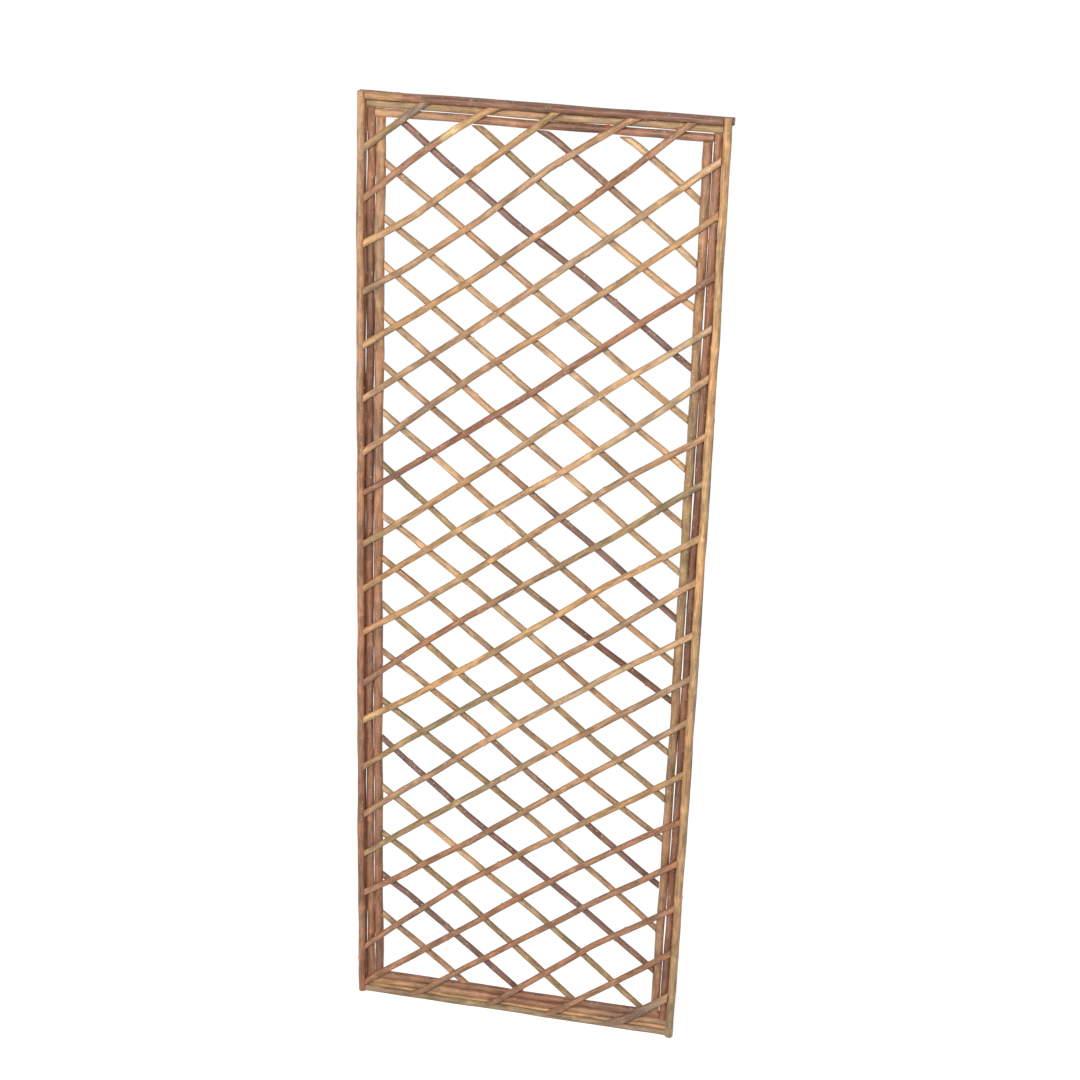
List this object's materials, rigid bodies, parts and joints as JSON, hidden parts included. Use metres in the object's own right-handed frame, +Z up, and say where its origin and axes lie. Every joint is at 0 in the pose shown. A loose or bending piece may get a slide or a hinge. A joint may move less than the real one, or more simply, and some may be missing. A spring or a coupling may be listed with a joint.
{
  "type": "garden trellis panel",
  "caption": "Framed willow trellis panel of round rods: a triple nested frame behind, an outer frame before, and two layers of slanting rods pinned where they cross.",
  "frame": {"origin": "middle of the panel, on the ground, where the front and back layers of rods meet; this is the middle of its outer box to within 2 mm", "axes": "X across the panel to the right, Y from the front layer to the back layer, Z up the panel"},
  "size_m": [0.6386, 0.0309, 1.8],
  "materials": {
    "bark_ochre": "semi-gloss ochre willow bark with fine streaks, pale specks and cut ends",
    "bark_russet": "semi-gloss reddish brown willow bark with fine streaks and pale specks",
    "bark_plum": "dark purple brown willow bark with pale specks",
    "bark_olive": "olive grey willow bark with fine streaks",
    "bark_grey": "matt weathered grey brown bark, slightly furrowed",
    "pin_steel": "small bright steel pin heads"
  },
  "bodies": {
    "root": {"front_upright_left": "bark_russet", "front_upright_right": "bark_ochre", "front_rail_top": "bark_russet", "front_rail_bottom": "bark_grey", "back_upright_left": "bark_russet", "back_upright_right": "bark_russet", "back_rail_top": "bark_russet", "back_rail_bottom": "bark_ochre", "middle_upright_left": "bark_russet", "middle_upright_right": "bark_russet", "middle_rail_top": "bark_olive", "middle_rail_bottom": "bark_ochre", "inner_upright_left": "bark_plum", "inner_upright_right": "bark_plum", "inner_rails": "bark_russet", "front_rod_01": "bark_ochre", "front_rod_02": "bark_russet", "front_rod_03": "bark_ochre", "front_rod_04": "bark_russet", "front_rod_05": "bark_olive", "front_rod_06": "bark_ochre", "front_rod_07": "bark_plum", "front_rod_08": "bark_ochre", "front_rod_09": "bark_russet", "front_rod_10": "bark_ochre", "front_rod_11": "bark_russet", "front_rod_12": "bark_olive", "front_rod_13": "bark_ochre", "front_rod_14": "bark_plum", "front_rod_15": "bark_ochre", "front_rod_16": "bark_russet", "front_rod_17": "bark_ochre", "front_rod_18": "bark_russet", "front_rod_19": "bark_olive", "front_rod_20": "bark_ochre", "front_rod_21": "bark_plum", "front_rod_22": "bark_ochre", "corner_brace": "bark_grey", "back_rod_01": "bark_ochre", "back_rod_02": "bark_russet", "back_rod_03": "bark_olive", "back_rod_04": "bark_ochre", "back_rod_05": "bark_plum", "back_rod_06": "bark_ochre", "back_rod_07": "bark_russet", "back_rod_08": "bark_ochre", "back_rod_09": "bark_russet", "back_rod_10": "bark_olive", "back_rod_11": "bark_ochre", "back_rod_12": "bark_plum", "back_rod_13": "bark_ochre", "back_rod_14": "bark_russet", "back_rod_15": "bark_ochre", "back_rod_16": "bark_russet", "back_rod_17": "bark_olive", "back_rod_18": "bark_ochre", "back_rod_19": "bark_plum", "back_rod_20": "bark_ochre", "back_rod_21": "bark_russet", "panel_pins": "pin_steel"}
  },
  "joints": []
}
